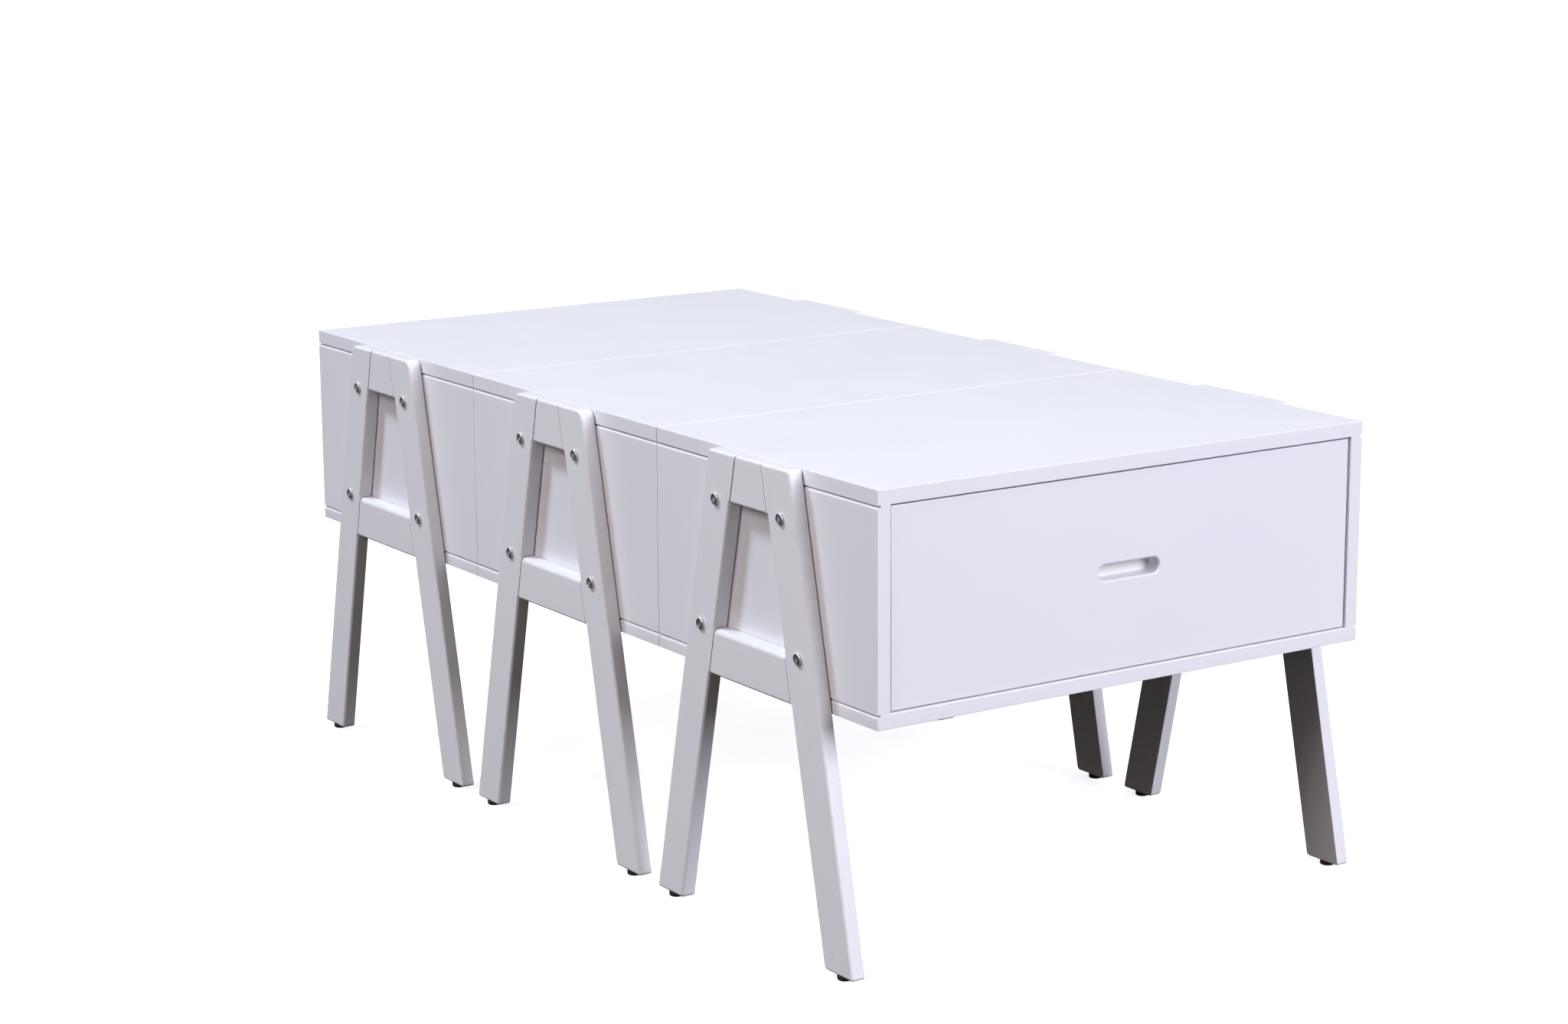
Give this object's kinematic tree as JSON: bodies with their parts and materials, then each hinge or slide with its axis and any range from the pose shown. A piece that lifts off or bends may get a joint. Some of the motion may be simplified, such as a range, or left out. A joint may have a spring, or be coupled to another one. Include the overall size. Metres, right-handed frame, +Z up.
{
  "type": "nesting tables",
  "caption": "Row of low drawer tables in white lacquer: oblong boxes with an inset drawer, each bolted between A-frame leg sets that stand on round glides.",
  "frame": {"origin": "on the floor, under the middle of the row of tables", "axes": "+Z up, X across the drawer fronts, drawers open towards -Y, the row runs along Y"},
  "size_m": [0.6384, 1.154, 0.48],
  "materials": {
    "box_lacquer": "satin white lacquer on board",
    "drawer_front_lacquer": "satin white lacquer on board",
    "frame_lacquer": "satin white lacquer on solid wood",
    "drawer_board": "thin matt white lacquer on board",
    "foot_plastic": "black moulded glide"
  },
  "bodies": {
    "table1_body": {"table1_top_panel": "box_lacquer", "table1_bottom_panel": "box_lacquer", "table1_side_panel_left": "box_lacquer", "table1_side_panel_right": "box_lacquer", "table1_back_panel": "box_lacquer", "table1_leg_left_front": "frame_lacquer", "table1_foot_left_front": "foot_plastic", "table1_leg_left_rear": "frame_lacquer", "table1_foot_left_rear": "foot_plastic", "table1_upper_rail_left": "frame_lacquer", "table1_lower_rail_left": "frame_lacquer", "table1_leg_right_front": "frame_lacquer", "table1_foot_right_front": "foot_plastic", "table1_leg_right_rear": "frame_lacquer", "table1_foot_right_rear": "foot_plastic", "table1_upper_rail_right": "frame_lacquer", "table1_lower_rail_right": "frame_lacquer"},
    "table1_drawer": {"table1_drawer_front": "drawer_front_lacquer", "table1_drawer_frame": "drawer_board", "table1_drawer_bottom": "drawer_board"},
    "table2_body": {"table2_top_panel": "box_lacquer", "table2_bottom_panel": "box_lacquer", "table2_side_panel_left": "box_lacquer", "table2_side_panel_right": "box_lacquer", "table2_back_panel": "box_lacquer", "table2_leg_left_front": "frame_lacquer", "table2_foot_left_front": "foot_plastic", "table2_leg_left_rear": "frame_lacquer", "table2_foot_left_rear": "foot_plastic", "table2_upper_rail_left": "frame_lacquer", "table2_lower_rail_left": "frame_lacquer", "table2_leg_right_front": "frame_lacquer", "table2_foot_right_front": "foot_plastic", "table2_leg_right_rear": "frame_lacquer", "table2_foot_right_rear": "foot_plastic", "table2_upper_rail_right": "frame_lacquer", "table2_lower_rail_right": "frame_lacquer"},
    "table2_drawer": {"table2_drawer_front": "drawer_front_lacquer", "table2_drawer_frame": "drawer_board", "table2_drawer_bottom": "drawer_board"},
    "table3_body": {"table3_top_panel": "box_lacquer", "table3_bottom_panel": "box_lacquer", "table3_side_panel_left": "box_lacquer", "table3_side_panel_right": "box_lacquer", "table3_back_panel": "box_lacquer", "table3_leg_left_front": "frame_lacquer", "table3_foot_left_front": "foot_plastic", "table3_leg_left_rear": "frame_lacquer", "table3_foot_left_rear": "foot_plastic", "table3_upper_rail_left": "frame_lacquer", "table3_lower_rail_left": "frame_lacquer", "table3_leg_right_front": "frame_lacquer", "table3_foot_right_front": "foot_plastic", "table3_leg_right_rear": "frame_lacquer", "table3_foot_right_rear": "foot_plastic", "table3_upper_rail_right": "frame_lacquer", "table3_lower_rail_right": "frame_lacquer"},
    "table3_drawer": {"table3_drawer_front": "drawer_front_lacquer", "table3_drawer_frame": "drawer_board", "table3_drawer_bottom": "drawer_board"}
  },
  "joints": [
    {"name": "table1_pull_out", "type": "slide", "parent": "table2_body", "child": "table1_body", "axis": [0, -1, 0], "range_m": [0, 0.56]},
    {"name": "table3_pull_out", "type": "slide", "parent": "table2_body", "child": "table3_body", "axis": [0, 1, 0], "range_m": [0, 0.56]},
    {"name": "table1_drawer_slide", "type": "slide", "parent": "table1_body", "child": "table1_drawer", "axis": [0, -1, 0], "range_m": [0, 0.28]},
    {"name": "table2_drawer_slide", "type": "slide", "parent": "table2_body", "child": "table2_drawer", "axis": [0, -1, 0], "range_m": [0, 0.28]},
    {"name": "table3_drawer_slide", "type": "slide", "parent": "table3_body", "child": "table3_drawer", "axis": [0, -1, 0], "range_m": [0, 0.28]}
  ],
  "couplings": [
    {"joint": "table2_drawer_slide", "follows": "table1_pull_out", "ratio": 0.5},
    {"joint": "table3_drawer_slide", "follows": "table3_pull_out", "ratio": 0.5}
  ]
}
